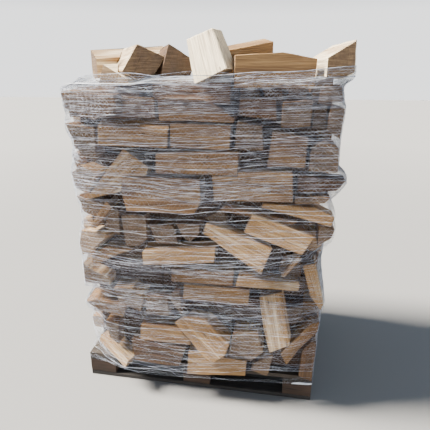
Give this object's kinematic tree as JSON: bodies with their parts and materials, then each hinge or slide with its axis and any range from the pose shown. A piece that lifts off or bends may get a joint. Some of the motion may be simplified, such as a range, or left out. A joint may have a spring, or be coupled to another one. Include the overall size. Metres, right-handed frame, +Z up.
{
  "type": "pallet of netted firewood",
  "caption": "Split firewood logs stacked high on a four-way wooden pallet, held by a wound white net, with loose logs on top.",
  "frame": {"origin": "on the ground, under the middle of the pallet", "axes": "+Z up, the pictured front of the load towards -Y, the pallet's long side along X"},
  "size_m": [1.2962, 0.9932, 1.7631],
  "materials": {
    "fresh_split_wood": "fresh pale split wood, rough",
    "old_pallet_wood": "dark weathered softwood",
    "white_net": "white knitted plastic netting, slightly glossy"
  },
  "bodies": {
    "root": {"block_1_1": "old_pallet_wood", "block_1_2": "old_pallet_wood", "block_1_3": "old_pallet_wood", "block_2_1": "old_pallet_wood", "block_2_2": "old_pallet_wood", "block_2_3": "old_pallet_wood", "block_3_1": "old_pallet_wood", "block_3_2": "old_pallet_wood", "block_3_3": "old_pallet_wood", "bottom_board_1": "old_pallet_wood", "bottom_board_2": "old_pallet_wood", "bottom_board_3": "old_pallet_wood", "deck_board_1": "old_pallet_wood", "deck_board_2": "old_pallet_wood", "deck_board_3": "old_pallet_wood", "deck_board_4": "old_pallet_wood", "deck_board_5": "old_pallet_wood", "front_log_01": "fresh_split_wood", "front_log_02": "fresh_split_wood", "front_log_03": "fresh_split_wood", "front_log_04": "fresh_split_wood", "front_log_05": "fresh_split_wood", "front_log_06": "fresh_split_wood", "front_log_07": "fresh_split_wood", "front_log_08": "fresh_split_wood", "front_log_09": "fresh_split_wood", "front_log_10": "fresh_split_wood", "front_log_11": "fresh_split_wood", "front_log_12": "fresh_split_wood", "front_log_13": "fresh_split_wood", "front_log_14": "fresh_split_wood", "front_log_15": "fresh_split_wood", "front_log_16": "fresh_split_wood", "front_log_17": "fresh_split_wood", "front_log_18": "fresh_split_wood", "front_log_19": "fresh_split_wood", "front_log_20": "fresh_split_wood", "front_log_21": "fresh_split_wood", "front_log_22": "fresh_split_wood", "front_log_23": "fresh_split_wood", "front_log_24": "fresh_split_wood", "front_log_25": "fresh_split_wood", "front_log_26": "fresh_split_wood", "front_log_27": "fresh_split_wood", "front_log_28": "fresh_split_wood", "front_log_29": "fresh_split_wood", "front_log_30": "fresh_split_wood", "net_wrap": "white_net", "stacked_logs": "fresh_split_wood", "stringer_1": "old_pallet_wood", "stringer_2": "old_pallet_wood", "stringer_3": "old_pallet_wood", "top_log_1": "fresh_split_wood", "top_log_2": "fresh_split_wood", "top_log_3": "fresh_split_wood", "top_log_4": "fresh_split_wood", "top_log_5": "fresh_split_wood", "top_log_6": "fresh_split_wood", "top_log_7": "fresh_split_wood", "top_log_8": "fresh_split_wood"}
  },
  "joints": []
}
